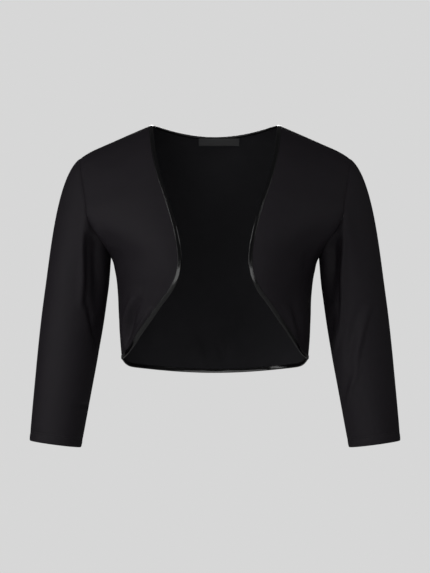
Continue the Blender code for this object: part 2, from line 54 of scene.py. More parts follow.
NECK_HALF = 0.0905
SHOULDER_HALF = 0.196
TOP_RING_HALF = 0.222
SHOULDER_FALL = 0.435
NECK_EASE = 0.012
TIP_ROUND_FROM = 0.172
TIP_ROUND = 6.0
FRONT_SQUARE = 0.20
BACK_SQUARE = 0.28
# Rings of the worn form in mm, and as its slope the share that a ring takes of the shoulder's fall
RING_COLUMNS = ("height", "half_width", "front", "back", "slope")
RINGS = np.array([
    (0, 222, 0, 0, 1.00),
    (-10, 222, 24, 30, 1.00),
    (-35, 221, 50, 60, 0.96),
    (-75, 218, 76, 86, 0.76),
    (-115, 212, 95, 101, 0.42),
    (-150, 193, 106, 107, 0.14),
    (-172, 170, 111, 108, 0.03),
    (-194, 151, 113, 107, 0.00),
    (-215, 145, 113, 105, 0.00),
    (-245, 141, 110, 101, 0.00),
    (-280, 139.2, 104, 95, 0.00),
    (-312, 137.8, 99, 91, 0.00),
    (-342, 135.5, 96, 88, 0.00),
    (-370, 134, 94, 87, 0.00),
    (-400, 133, 93, 87, 0.00),
]) * (MM, MM, MM, MM, 1)
BUST = {"x": 0.082, "height": -0.196, "wide": 0.052, "high": 0.062, "fullness": 0.014}
UNDERARM_HEIGHT = -0.194
SIDE_HEM_HEIGHT = -0.342
BACK_HEM_HEIGHT = -0.365
HEM_CORNER_SHARE = 0.48
HEM_CORNER_POWER = 34
NECK_DROP = 0.0155
NECK_CURVE_POWER = 1.9
TIP_ANGLE_IN = 90 - math.degrees(math.asin(SHOULDER_HALF / TOP_RING_HALF))
FRONT_SCOOP = 9.0
BACK_SCOOP = 6.0
QUARTER = math.pi / 2
FINE = 600
STEP = 1e-4
EXTENSION = 40
ANGLE_PER_METRE = 10
GIRTH_STEPS = 24

JERSEY = 0.9 * MM
BINDING_WIDTH = 6.0 * MM
PANEL_INSET = 1.0 * MM
SEAM_SINK = 0.55 * MM
SEAM_ROLL = 2.2 * MM
SEAM_WOBBLE = 0.12 * MM
SEAM_WAVES = ((7.1 * MM, 0.0), (4.7 * MM, 1.3))
HOLLOW_HEIGHT = -0.172
HOLLOW_HIGH = 0.024
HOLLOW_FRONT = -0.004
HOLLOW_OUT = 0.146
HOLLOW_SINK = 2.6 * MM
HOLLOW_ROLL = 2.6 * MM
SEAM_FADE = 7.0 * MM
SIDE_ROWS = 84
ARMHOLE_ROWS = 96
NECK_SPACES = 32
SHOULDER_SPACES = 36
FRONT_SPACES = 76
SEAM_CROWDING = 0.55
ARM_ROOT = np.array([0.150, -0.002, -0.118])
CREASE_ENDS = 0.35

# Creases of the back, in mm: across and height where one starts, and where it ends, how far its line bows
# sideways, its half width, and its rise out of the cloth, negative in a trough. Last, as a share, its lean,
# which makes one flank the steeper
BACK_CREASES = (
    (30, -290, 20, -352, 0, 12, -3, 0.2),
    (-34, -306, -18, -356, 0, 10, -2.2, -0.2),
    (6, -322, 14, -350, 0, 6, 1.8, 0.3),
    (82, -250, 100, -322, 2, 12, 2.8, 0.1),
    (-86, -264, -98, -320, -2, 11, 3, 0),
    (104, -160, 128, -262, -3, 11, -3.6, 0.4),
    (-108, -172, -127, -250, 2, 12, -3.2, -0.4),
    (138, -132, 112, -206, 0, 9, 2.4, 0.2),
    (-142, -140, -110, -200, 0, 8, 2.2, -0.2),
    (125, -215, 70, -240, 2, 8, -1.6, 0.3),
    (-128, -222, -60, -256, -2, 9, -1.8, -0.2),
    (50, -36, 90, -80, 2, 9, 1, 0),
    (-58, -40, -88, -92, -2, 10, 0.9, 0),
)


def unit(vectors):
    """Each vector divided by its own length."""
    return vectors / np.linalg.norm(vectors, axis=-1, keepdims=True)


def bell(distance, wide):
    """One at no distance, and less by the square of the distance over the width, as a power of e."""
    return np.exp(-((distance / wide) ** 2))


def hermite(t, start, leaves, end, arrives):
    """Cubic in t from start to end, with the slopes that it leaves and arrives with."""
    first = (2 * t**3 - 3 * t**2 + 1) * start + (t**3 - 2 * t**2 + t) * leaves
    return first + (3 * t**2 - 2 * t**3) * end + (t**3 - t**2) * arrives


def smooth_curve(knots, values, at):
    """Cubic through values at uneven knots: on each span, the Hermite blend of its ends and their slopes."""
    slopes = np.gradient(values, knots, axis=0)
    at = np.asarray(at, float)
    i = np.clip(np.searchsorted(knots, at, side="right") - 1, 0, len(knots) - 2)
    span = knots[i + 1] - knots[i]
    t = (at - knots[i]) / span
    if values.ndim > 1:
        t, span = t[..., None], span[..., None]
    return hermite(t, values[i], span * slopes[i], values[i + 1], span * slopes[i + 1])


def run_length(points):
    """Sum of the steps between the points of a line, from its first."""
    return np.concatenate([[0], np.cumsum(np.linalg.norm(np.diff(points, axis=0), axis=1))])


def ring_knots():
    """Length down the cloth at each ring, negative on the other side of the shoulder seam."""
    down = run_length(np.column_stack([RINGS[:, 0], (RINGS[:, 2] + RINGS[:, 3]) / 2]))
    return np.concatenate([-down[:0:-1], down])


KNOTS = ring_knots()


def ring(column, down):
    """One column of the rings at a length down the cloth, carried over the shoulder to the other side."""
    values = RINGS[:, RING_COLUMNS.index(column)]
    other = {"front": "back", "back": "front"}.get(column)
    beyond = -RINGS[:, RING_COLUMNS.index(other)] if other else values
    return smooth_curve(KNOTS, np.concatenate([beyond[:0:-1], values]), down)


def shoulder_drop(x):
    """Fall of the shoulder line: level, a parabola of ease, then straight, less a rounding at the tip."""
    out = np.abs(x) - NECK_HALF
    eased = np.where(out < -NECK_EASE, 0, (out + NECK_EASE) ** 2 / (4 * NECK_EASE))
    run = np.where(out > NECK_EASE, out, eased)
    return -SHOULDER_FALL * run - TIP_ROUND * np.maximum(np.abs(x) - TIP_ROUND_FROM, 0) ** 2


def torso(angle, down, front):
    """The form: half width times sine across, depth times cosine, squared off, and a bell at the bust."""
    x = ring("half_width", down) * np.sin(angle)
    square = FRONT_SQUARE if front else BACK_SQUARE
    y = ring("front" if front else "back", down) * np.cos(angle) * (1 + square * np.sin(angle) ** 2)
    z = ring("height", down) + ring("slope", down) * shoulder_drop(x)
    if front:
        across = (np.abs(x) - BUST["x"]) / BUST["wide"]
        along = (z - BUST["height"]) / BUST["high"]
        y = -y - BUST["fullness"] * np.exp(-across**2 - along**2) * np.cos(angle)
    return np.stack(np.broadcast_arrays(x, y, z), axis=-1)


def torso_slopes(angle, down, front):
    """Central differences of the form by angle and by length down."""
    by_angle = torso(angle + STEP, down, front) - torso(angle - STEP, down, front)
    by_down = torso(angle, down + STEP, front) - torso(angle, down - STEP, front)
    return by_angle / (2 * STEP), by_down / (2 * STEP)


def torso_normal(angle, down, front):
    """Cross product of the two slopes, turned outwards."""
    by_angle, by_down = torso_slopes(angle, down, front)
    return unit(np.cross(by_angle, by_down)) * (-1 if front else 1)


def down_at(height):
    """Length down the cloth of the ring at a height, read back from the rings."""
    down = np.linspace(0, KNOTS[-1], FINE)
    return np.interp(-np.asarray(height), -ring("height", down), down)


UNDERARM_DOWN = float(down_at(UNDERARM_HEIGHT))


def even(curve, front, count):
    """A line of (angle, down) again, with points evenly spaced by their length on the cloth."""
    length = run_length(torso(curve[:, 0], curve[:, 1], front))
    at = np.linspace(0, length[-1], count)
    return np.column_stack([np.interp(at, length, curve[:, k]) for k in (0, 1)])


def moved_edge(outline, front, turn, distance, shares):
    """Points at shares of the length of an outline moved over the cloth, square to itself, to one hand.

    The outline is first drawn on past its ends, and the moved line is cut back at the seams.
    """
    runs_on = (outline[0] - outline[1]) * EXTENSION, (outline[-1] - outline[-2]) * EXTENSION
    start = outline[0] + runs_on[0] * np.linspace(1, 0, EXTENSION, endpoint=False)[:, None]
    end = outline[-1] + runs_on[1] * np.linspace(0, 1, EXTENSION + 1)[1:, None]
    curve = np.vstack([start, outline, end])
    angle, down = curve.T
    along = unit(np.gradient(torso(angle, down, front), axis=0))
    into = np.cross(torso_normal(angle, down, front), along) * turn
    by_angle, by_down = torso_slopes(angle, down, front)
    aa, ad, dd = ((a * b).sum(1) for a, b in ((by_angle, by_angle), (by_angle, by_down), (by_down, by_down)))
    into_angle, into_down = (into * by_angle).sum(1), (into * by_down).sum(1)
    moved = np.column_stack([into_angle * dd - into_down * ad, into_down * aa - into_angle * ad])
    moved = curve + distance * moved / (aa * dd - ad**2)[:, None]
    room = np.minimum(QUARTER - np.abs(moved[:, 0]), moved[:, 1] * ANGLE_PER_METRE)
    inside = np.flatnonzero(room > 0)
    number = np.arange(len(room))
    first, last = inside[0], inside[-1]
    t0 = np.interp(0, room[[first - 1, first]], number[[first - 1, first]])
    t1 = np.interp(0, room[[last + 1, last]], number[[last + 1, last]])
    at = t0 + (t1 - t0) * np.asarray(shares)
    return np.column_stack([np.interp(at, number, moved[:, k]) for k in (0, 1)])


def hem_outline():
    """The back hem: its height goes up with the square of the sine, and sharply at the side seams."""
    angle = np.linspace(-QUARTER, QUARTER, 2 * FINE + 1)
    across = np.sin(angle) ** 2
    rise = (1 - HEM_CORNER_SHARE) * across + HEM_CORNER_SHARE * across ** (HEM_CORNER_POWER / 2)
    down = down_at(BACK_HEM_HEIGHT + (SIDE_HEM_HEIGHT - BACK_HEM_HEIGHT) * rise)
    return even(np.column_stack([angle, down]), False, 2 * FINE + 1)


def neck_outline():
    """The back neck: a dip of one less a power of the share across."""
    x = NECK_HALF * np.sin(np.linspace(-QUARTER, QUARTER, 2 * FINE + 1))
    down = down_at(-NECK_DROP * (1 - (np.abs(x) / NECK_HALF) ** NECK_CURVE_POWER))
    angle = np.arcsin(x / ring("half_width", down))
    return even(np.column_stack([angle, down]), False, 2 * FINE + 1)


def even_armhole(front, count):
    """The armhole from the underarm to the tip: inwards by a quarter sine and a squared sine of its share."""
    share = np.linspace(0, 1, FINE)
    scoop = FRONT_SCOOP if front else BACK_SCOOP
    inwards = TIP_ANGLE_IN * np.sin(share * QUARTER) + scoop * np.sin(share * math.pi) ** 2
    line = np.column_stack([QUARTER - np.radians(inwards), UNDERARM_DOWN * np.cos(share * QUARTER)])
    return even(line, front, count)


HEM_OUTLINE = hem_outline()
NECK_OUTLINE = neck_outline()


def crowded(count):
    """Even shares from 0 to 1, drawn towards both ends by a sine."""
    t = np.linspace(0, 1, count)
    return t - SEAM_CROWDING * np.sin(2 * math.pi * t) / (2 * math.pi)


def crowded_last(count):
    """Even shares from 0 to 1, drawn towards the last by half a sine."""
    t = np.linspace(0, 1, count)
    return t + SEAM_CROWDING * np.sin(math.pi * t) / math.pi


def side_and_armhole(bottom_down, front):
    """Side seam from a bottom point up to the underarm, then the armhole up to the shoulder tip."""
    side_down = np.linspace(bottom_down, UNDERARM_DOWN, SIDE_ROWS + 1)[:-1]
    side = np.column_stack([np.full(SIDE_ROWS, QUARTER), side_down])
    return np.vstack([side, even_armhole(front, ARMHOLE_ROWS + 1)])


def patch(medial, lateral, bottom):
    """Straight lines from one edge to the other, bent towards the bottom line by a fading square."""
    s = crowded(len(bottom))[None, :, None]
    v = np.linspace(0, 1, len(medial))[:, None, None]
    straight = (1 - s) * medial[:, None] + s * lateral[:, None]
    return straight + (1 - v) ** 2 * (bottom[None] - straight[:1])


def creases(table, across, height):
    """Sum of bells about each crease's line, whose width differs on its two flanks, fullest at mid length."""
    total = np.zeros(np.broadcast(across, height).shape)
    for *lengths, lean in table:
        x0, z0, x1, z1, bend, wide, rise = np.array(lengths) * MM
        dx, dz = x1 - x0, z1 - z0
        length = math.hypot(dx, dz)
        share = ((across - x0) * dx + (height - z0) * dz) / length**2
        on = np.clip(share, 0, 1)
        off = ((height - z0) * dx - (across - x0) * dz) / length - bend * 4 * on * (1 - on)
        off = off / (1 + lean * np.tanh(off / wide))
        fullness = CREASE_ENDS + (1 - CREASE_ENDS) * np.sin(on * math.pi)
        total += rise * fullness * bell(np.hypot(off, (share - on) * length), wide)
    return total


def from_border(points, border):
    """Distance of each point of a grid from the border point of its own row or column."""
    return np.linalg.norm(points - border, axis=-1)


def off_seams(points, seams):
    """Product over the seams of one less a bell: creases leave the seams alone and run over a bound edge."""
    fade = np.ones(points.shape[:-1])
    for seam in seams:
        fade *= 1 - bell(from_border(points, seam), SEAM_FADE)
    return fade


def seam_roll(points, seam, into):
    """Cloth drawn in at a seam: a bell of the distance from it, its depth uneven along the seam.

    Low on the front of the armhole the seam lies in a hollow, a bell of the height.
    """
    along = seam[..., 2] + seam[..., 1]
    low_in_front = (seam[..., 1] < HOLLOW_FRONT) & (np.abs(seam[..., 0]) > HOLLOW_OUT)
    hollow = bell(seam[..., 2] - HOLLOW_HEIGHT, HOLLOW_HIGH) * low_in_front
    wobble = sum(np.sin(along / length + phase) for length, phase in SEAM_WAVES)
    depth = SEAM_SINK + SEAM_WOBBLE * wobble + HOLLOW_SINK * hollow
    wide = SEAM_ROLL + HOLLOW_ROLL * hollow
    return into * (depth * bell(from_border(points, seam), wide))[..., None]


def grid_normals(points):
    """Cross product of a grid's two central differences, by column and by row."""
    return unit(np.cross(np.gradient(points, axis=1), np.gradient(points, axis=0)))


def girth(angle, down, front):
    """Length over the form from the centre line to each point, summed over small steps of its angle."""
    steps = np.linspace(0, 1, GIRTH_STEPS + 1)[:, None, None]
    line = torso(angle * steps, down + 0 * steps, front)
    return np.sign(angle) * np.linalg.norm(np.diff(line, axis=0), axis=-1).sum(0)


def quads(a, b, c, d):
    """Four arrays of vertex numbers as one list of four-sided faces."""
    return np.stack([a, b, c, d], -1).reshape(-1, 4)


def inside_out(faces, points, outwards):
    """Whether the faces' normals, each the cross product of two diagonals, point against these vectors."""
    a, b, c, d = (points[faces[:, k]] for k in range(4))
    return (np.cross(c - a, d - b) * outwards).sum() < 0


def placed(name, data):
    """An object of that mesh, lamp or camera, linked to the scene at the origin."""
    piece = bpy.data.objects.new(name, data)
    bpy.context.scene.collection.objects.link(piece)
    return piece


def smooth_piece(name, points, faces, uv):
    """A smooth piece of points, faces, and the cloth's own coordinates at each corner of each face."""
    mesh = bpy.data.meshes.new(name)
    mesh.from_pydata(points.tolist(), [], faces)
    mesh.uv_layers.new(name="Cloth").data.foreach_set("uv", uv.ravel())
    mesh.shade_smooth()
    return placed(name, mesh)


def cloth(name, outer, inner, uv, closed=False):
    """A thin closed shell: two grids of points, with narrow walls along their borders.

    A closed tube repeats its first column as its last, so that the cloth's own coordinates run on round it.
    """
    rows, columns = outer.shape[:2]
    cell = np.arange(2 * rows * columns).reshape(2, rows, columns)
    faces = [quads(cell[0, :-1, :-1], cell[0, :-1, 1:], cell[0, 1:, 1:], cell[0, 1:, :-1])]
    faces.append(quads(cell[1, :-1, :-1], cell[1, 1:, :-1], cell[1, 1:, 1:], cell[1, :-1, 1:]))
    rims = [cell[:, 0], cell[:, -1, ::-1]]
    if not closed:
        rims += [cell[:, ::-1, 0], cell[:, :, -1]]
    for rim in rims:
        faces.append(quads(rim[1, :-1], rim[1, 1:], rim[0, 1:], rim[0, :-1]))
    faces = np.concatenate(faces)
    points = np.concatenate([outer.reshape(-1, 3), inner.reshape(-1, 3)])
    on_face = (rows - 1) * (columns - 1)
    if inside_out(faces[:on_face], points, (outer - inner)[:-1, :-1].reshape(-1, 3)):
        faces = faces[:, ::-1]
    vertex = cell.copy()
    if closed:
        vertex[:, :, -1] = vertex[:, :, 0]
    used, corner = np.unique(vertex.ravel()[faces], return_inverse=True)
    corner_uv = np.tile(uv.reshape(-1, 2), (2, 1))[faces]
    piece = smooth_piece(name, points[used], corner.reshape(-1, 4).tolist(), corner_uv)
    reverse = np.zeros(len(faces), np.int32)
    reverse[on_face: 2 * on_face] = 1
    piece.data.attributes.new("material_index", "INT", "FACE").data.foreach_set("value", reverse)
    return piece


def back_grid():
    """The back as (angle, down): each half is a blend of its four borders, less the blend of its corners."""
    neck = moved_edge(NECK_OUTLINE, False, 1, PANEL_INSET, np.linspace(0.5, 1, NECK_SPACES + 1))
    neck[0, 0] = neck[-1, 1] = 0
    tip = even_armhole(False, ARMHOLE_ROWS + 1)[-1]
    along = crowded_last(SHOULDER_SPACES + 1)[1:, None]
    top = np.vstack([neck, neck[-1] + (tip - neck[-1]) * along])
    length = run_length(torso(top[:, 0], top[:, 1], False))
    share = length / length[-1]
    bottom = moved_edge(HEM_OUTLINE, False, -1, PANEL_INSET, 0.5 + 0.5 * share)
    bottom[0, 0] = 0
    side = side_and_armhole(bottom[-1, 1], False)
    length = run_length(torso(side[:, 0], side[:, 1], False))
    v = (length / length[-1])[:, None, None]
    centre = bottom[0] + (top[0] - bottom[0]) * v[:, 0]
    s = share[None, :, None]
    corners = (1 - v) * ((1 - s) * bottom[0] + s * bottom[-1]) + v * ((1 - s) * top[0] + s * top[-1])
    half = (1 - v) * bottom + v * top + (1 - s) * centre[:, None] + s * side[:, None] - corners
    return np.concatenate([half[:, :0:-1] * (-1, 1), half], axis=1)


def armhole_into(seam):
    """Direction in which both pieces are drawn in at the armhole: towards the middle of the arm's root."""
    side = np.sign(seam[:, :1])
    return unit(ARM_ROOT * np.concatenate([side, np.ones((len(seam), 2))], axis=1) - seam)


def body_panel(name, grid, front, side, table):
    """A panel on a grid of (angle, down): the form, its creases, and the cloth rolled in at the seams."""
    angle, down = grid[..., 0], grid[..., 1]
    form = torso(angle, down, front)
    seams = (form[:, -1:], form[-1:]) if front else (form[:, :1], form[:, -1:], form[-1:])
    rise = creases(table, form[..., 0], form[..., 2]) * off_seams(form, seams)
    outer = form + torso_normal(angle, down, front) * rise[..., None]
    for edge in (-1,) if front else (-1, 0):
        into = np.array([-1 if edge else 1, 0, 0]) + np.zeros((len(form), 1, 3))
        into[SIDE_ROWS:, 0] = armhole_into(form[SIDE_ROWS:, edge])
        outer += seam_roll(form, form[:, [edge]], into)
    neck_point = form[-1, 0 if front else len(form[0]) // 2 + NECK_SPACES, 0]
    on_shoulder = np.abs(form[-1:, :, 0]) >= abs(neck_point)
    outer += seam_roll(form, form[-1:], np.array([0, 0, -1]) * on_shoulder[..., None])
    normals = grid_normals(outer)
    normals *= np.sign((normals * torso_normal(angle, down, front)).sum(-1, keepdims=True))
    inner = outer - normals * JERSEY
    uv = np.stack([girth(angle, down, front) * side, -down], axis=-1)
    return cloth(name, outer * (side, 1, 1), inner * (side, 1, 1), uv)


class Socket:
    """A value in a material, with arithmetic that adds its Math nodes."""

    def __init__(self, tree, socket=None):
        self.tree = tree
        self.socket = socket

    def node(self, kind, settings=(), sockets=(), output=0):
        """Any node, by its type: its settings are set first, then its sockets get values or links."""
        made = self.tree.nodes.new(kind)
        for name, setting in dict(settings).items():
            setattr(made, name, setting)
        for name, value in dict(sockets).items():
            if isinstance(value, Socket):
                self.tree.links.new(value.socket, made.inputs[name])
            else:
                made.inputs[name].default_value = value
        return Socket(self.tree, made.outputs[output])

    def feed(self, shader, name):
        """Links the value to a shader's socket."""
        self.tree.links.new(self.socket, shader.inputs[name])

    def math(self, operation, first, second=0.0):
        return self.node("ShaderNodeMath", {"operation": operation}, {0: first, 1: second})

    def __add__(self, other):
        return self.math("ADD", self, other)

    __radd__ = __add__

    def __mul__(self, other):
        return self.math("MULTIPLY", self, other)

    __rmul__ = __mul__

    def __sub__(self, other):
        return self.math("SUBTRACT", self, other)

    def __rsub__(self, other):
        return self.math("SUBTRACT", other, self)

    def __truediv__(self, other):
        return self.math("DIVIDE", self, other)

    def size(self):
        return self.math("ABSOLUTE", self)

    def wave(self):
        return self.math("SINE", self)

    def within_cell(self):
        return self.math("FRACT", self) - 0.5


def new_finish(name, roughness, specular):
    """A material with its constant values on the shader's own sockets, and a start for its nodes."""
    material = bpy.data.materials.new(name)
    material.use_nodes = True
    shader = material.node_tree.nodes["Principled BSDF"]
    shader.inputs["Roughness"].default_value = roughness
    shader.inputs["Specular IOR Level"].default_value = specular
    return material, shader, Socket(material.node_tree)


def mixed(start, share, dark, light):
    """A colour between two, by a share."""
    sockets = {"Factor": share, 6: (*dark, 1), 7: (*light, 1)}
    return start.node("ShaderNodeMix", {"data_type": "RGBA"}, sockets, output=2)


def bump(start, height, distance, strength=1.0):
    """A normal from a height in metres times a distance."""
    sockets = {"Height": height, "Distance": distance, "Strength": strength}
    return start.node("ShaderNodeBump", (), sockets)


WALE = 0.62 * MM
COURSE = 0.50 * MM
KNIT_RELIEF = 0.10 * MM
BARRE_ACROSS = 60
BARRE_ALONG = 420
DYE_CLOUDS = 34.0
FACE_DARK = (0.0168, 0.0140, 0.0180)
FACE_LIGHT = (0.0258, 0.0216, 0.0276)
# The reverse's tones, paler than the face's, are painted light: they lift the inside of the jacket, which the
# lamps leave in shade. Its purl stitches and rougher finish are its own
REVERSE_DARK_PAINTED_LIGHT = (0.0262, 0.0256, 0.0286)
REVERSE_PALE_PAINTED_LIGHT = (0.0425, 0.0415, 0.0465)


def cloth_coordinates(start):
    """The piece's own coordinates in metres: the pair as a vector, then across and along apart."""
    place = start.node("ShaderNodeUVMap", {"uv_map": "Cloth"})
    parts = start.node("ShaderNodeSeparateXYZ", (), {0: place}).socket.node
    return place, Socket(start.tree, parts.outputs[0]), Socket(start.tree, parts.outputs[1])


def jersey_finish(name, dark, light, roughness, specular, stitch):
    """Single jersey: a height from its stitches, over a faint uneven tone of the dye and a barre across."""
    material, shader, start = new_finish(name, roughness, specular)
    place, u, v = cloth_coordinates(start)
    knit = stitch(u, v)
    stretch = start.node("ShaderNodeCombineXYZ", (), {0: u * BARRE_ACROSS, 1: v * BARRE_ALONG, 2: 0.0})
    barre = start.node("ShaderNodeTexNoise", (), {"Vector": stretch, "Scale": 1.0, "Detail": 2.0})
    cloudy = start.node("ShaderNodeTexNoise", (), {"Vector": place, "Scale": DYE_CLOUDS, "Detail": 3.0})
    tone = knit * 0.45 + barre * 0.25 + cloudy * 0.45 - 0.1
    mixed(start, tone, dark, light).feed(shader, "Base Color")
    (cloudy * 0.08 + (roughness - 0.04)).feed(shader, "Roughness")
    bump(start, knit + cloudy * 1.2, KNIT_RELIEF, 0.6).feed(shader, "Normal")
    return material


def face_stitches(u, v):
    """Columns of V stitches: two legs to a wale, each leg a slanting wave of its course."""
    across = (u / WALE).within_cell().size()
    leg = 1 - (across * 4 - 1).size()
    loop = ((v / COURSE + across * 1.3) * math.pi).wave().size()
    return leg * (loop * 0.6 + 0.4)


def purl_stitches(u, v):
    """Rows of half round loops: a course's wave, bowed by the wave of its wales."""
    bow = (u / WALE * math.pi).wave().size()
    return ((v / COURSE + bow * 0.45) * math.pi).wave().size()


def hung(panel, node):
    """A panel with the jersey's face out and its reverse in, put in its solid's place, whose part it hides.
    """
    panel.data.materials.append(jersey)
    panel.data.materials.append(reverse_jersey_painted_light)
    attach(panel, "root")
    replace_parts(panel, node)


jersey = jersey_finish("viscose_jersey", FACE_DARK, FACE_LIGHT, 0.58, 0.25, face_stitches)
# The reverse side: purl stitches and a rougher finish of its own, in tones raised as painted light on the
# shaded inside
reverse_jersey_painted_light = jersey_finish("viscose_jersey_reverse_painted_light", REVERSE_DARK_PAINTED_LIGHT, REVERSE_PALE_PAINTED_LIGHT, 0.72, 0.12,
                               purl_stitches)
hung(body_panel("back_cloth", back_grid(), False, 1, BACK_CREASES), "back")


# The two fronts
# Each is one piece of the same jersey, cut in a curve from the neck over the bust to the side seam, so
# that the jacket has no closing. They pull at the lower corners and at the armholes.

# The bound edge in mm: height, and half the gap between the fronts
FRONT_EDGE = np.array([
    (0, 90.5),
    (-48, 83.5),
    (-80, 75.5),
    (-113, 64.5),
    (-148, 54),
    (-178, 48),
    (-203, 46.5),
    (-222, 50),
    (-243, 60),
    (-262, 74.5),
    (-283, 89.5),
    (-303, 104),
    (-322, 117),
    (-336, 128.5),
    (-342, 135.5),
]) * MM
FRONT_CORNER_FROM_SIDE = 0.038
FRONT_CREASES = {
    -1: (
        (127, -246, 133.5, -300, 0, 4.5, 1.8, 0),
        (116.5, -254, 129.6, -327, 3.7, 3.6, 6, 0.2),
        (106, -256, 124, -316, 4, 4.6, -6.8, 0),
        (90.5, -268, 126.4, -323, 0, 3.4, 3.6, 0),
        (57.5, -242, 118, -324, 0, 5.6, -1.6, 0),
        (174, -146, 142, -182, 4, 7, 2.4, 0),
        (112, -232, 118, -290, 0, 20, 3.4, 0),
    ),
    1: (
        (178, -140, 140, -186, 0, 8, 3, -0.3),
        (133, -190, 134, -262, 0, 8.5, -5.2, 0),
        (57.5, -242, 118, -324, 0, 5.6, -1.6, 0),
        (99, -262, 123, -318, 1, 5, 2.6, 0),
        (112, -262, 129, -332, 0, 5.2, -4.4, 0),
        (125, -205, 105, -262, 4, 10, -1.4, 0),
    ),
}
HANDS = (("left", 1), ("right", -1))


def front_outline():
    """The bound front edge, from the side seam round to the neck: its half gap read at each height."""
    length = run_length(FRONT_EDGE)
    height, gap = smooth_curve(length, FRONT_EDGE, np.linspace(length[-1], 0, FINE)).T
    down = down_at(height)
    angle = np.arcsin(np.clip(gap / ring("half_width", down), 0, 1))
    return even(np.column_stack([angle, down]), True, FINE)


FRONT_OUTLINE = front_outline()


def front_grid():
    """A front as (angle, down), from its curved edge to the side seam and armhole."""
    length = run_length(torso(FRONT_OUTLINE[:, 0], FRONT_OUTLINE[:, 1], True))[-1]
    corner = FRONT_CORNER_FROM_SIDE / length
    low = corner * (1 - crowded(FRONT_SPACES + 1))[::-1]
    high = np.linspace(corner, 1, SIDE_ROWS + ARMHOLE_ROWS + 1)
    edge = moved_edge(FRONT_OUTLINE, True, -1, PANEL_INSET, np.concatenate([low, high[1:]]))
    bottom = edge[: FRONT_SPACES + 1][::-1]
    return patch(edge[FRONT_SPACES:], side_and_armhole(bottom[-1, 1], True), bottom)


for hand, side in HANDS:
    front = body_panel(f"front_{hand}_cloth", front_grid(), True, side, FRONT_CREASES[side])
    hung(front, f"front_{hand}")


# The two sleeves
# Three-quarter sleeves in one piece each, closed by one seam under the arm and set into the armhole. The
# cuff is turned up 14 mm inside and held by two rows of twin-needle stitching.

BICEP_X = 0.2005
BICEP_HEIGHT = -0.235
SLEEVE_SPLAY = 0.134
# Rings of the sleeve in mm: drop below the bicep, how far forward, half width and half depth
SLEEVE_RINGS = np.array([
    (0, -2, 45.7, 49),
    (48, 0, 45.5, 48.2),
    (95, 5, 44, 46.5),
    (142, 10, 41.8, 44.3),
    (189, 13.5, 39.6, 41.8),
    (228.5, 14.8, 37.6, 39.5),
]) * MM
SLEEVE_LENGTH = SLEEVE_RINGS[-1, 0]
CAP_START_REACH = 0.61
CAP_OUT = 0.10
CAP_OUT_OVER = 0.80
CAP_FORWARD = 0.16
CAP_DOWN_LESS_OVER = 0.36
CAP_OVER_POWER = 0.8
CAP_OFF_ARMHOLE = 0.05 * MM
SLEEVE_TURNS = 136
CAP_ROWS = 56
ARM_ROWS = 78
ARMHOLE_FADE = 4.5 * MM
CUFF_ROWS = (11.0 * MM, 13.6 * MM)
CUFF_GROOVE = 0.30 * MM
CUFF_GROOVE_WIDE = 0.9 * MM
CUFF_FULL = 0.25 * MM
CUFF_TUGS = 92
CUFF_TUG = 0.25
CUFF_FINE_FROM = 18.0 * MM
CUFF_FINE_TO = 2.4 * MM
CUFF_FINE_ROWS = 30
SLEEVE_CREASE_RADIUS = 0.045
# Creases as those of the back, but across is the angle round the sleeve: 0 outside, 90 front, 180 inside
SLEEVE_CREASES = {
    -1: (
        (97, -160, 105, -262, 0, 4.2, 3.4, -0.3),
        (109, -165, 114, -258, 0, 4.2, -3.2, 0.5),
        (124, -152, 136, -262, 0, 12, -8.2, 0),
        (114, -254, 151, -318, -1, 5, -4, 0.3),
        (142, -270, 165, -326, 0, 10, -3.6, 0),
        (122, -408.8, 178, -407.8, 1, 2.8, -2.4, 0.3),
        (126, -413.5, 170, -413, 1, 3, 1, 0),
        (60, -330, 84, -372, 0, 12, -0.8, 0),
        (215, -190, 205, -330, 3, 11, -4.5, 0.2),
        (262, -170, 236, -270, 0, 9, -3.4, -0.2),
        (300, -250, 262, -330, 2, 10, 2, 0),
    ),
    1: (
        (106, -165, 116, -255, 0, 4, 3.2, -0.3),
        (118, -172, 127, -276, 0, 4.4, -3, 0.5),
        (115, -248, 127, -294, 0, 3.4, 2.8, 0),
        (126, -290, 162, -338, -1, 4.2, 3, 0.2),
        (140, -272, 168, -325, 0, 6.5, -3.2, 0),
        (131, -156, 141, -250, 0, 12.5, -11.8, 0),
        (66, -262, 112, -362, 3, 4.6, 2.8, 0.3),
        (84, -262, 126, -350, 2, 5.8, -2.6, 0),
        (106, -357, 146, -411, 1, 4.4, 2.8, 0),
        (118, -352, 156, -400, 0, 5, -2, 0),
        (213, -195, 208, -320, -3, 11, -4.5, -0.2),
        (255, -180, 240, -290, 0, 10, -3, 0.2),
        (285, -300, 250, -372, 2, 9, 2, 0),
    ),
}


def sleeve_ring(drop, turn):
    """An ellipse square to the sleeve's leaning line, at a distance below the bicep."""
    knots, values = SLEEVE_RINGS[:, 0], SLEEVE_RINGS[:, 1:]
    forward, half_width, half_depth = (smooth_curve(knots, values[:, k], drop) for k in range(3))
    lean = smooth_curve(knots, np.gradient(values[:, 0], knots), drop)
    centre = np.stack([BICEP_X + SLEEVE_SPLAY * drop, -forward, BICEP_HEIGHT - drop], -1)
    line = unit(np.stack([np.full_like(drop, SLEEVE_SPLAY), -lean, -np.ones_like(drop)], -1))
    outwards = unit(np.stack([-line[..., 2], np.zeros_like(drop), line[..., 0]], -1))
    wide = (half_width * np.cos(turn))[..., None] * outwards
    return centre + wide + (half_depth * np.sin(turn))[..., None] * np.cross(line, outwards)


def armhole_ring(turn):
    """Points of the armhole seam, from the tip by the front and the underarm and back to the tip."""
    at = np.abs(turn / math.pi - 1)
    points = np.empty((len(turn), 3))
    for front in (True, False):
        mine = (turn <= math.pi) == front
        run = even_armhole(front, FINE)
        angle, down = (np.interp(at[mine], np.linspace(0, 1, FINE), run[:, k]) for k in (0, 1))
        points[mine] = torso(angle, down, front)
    return points


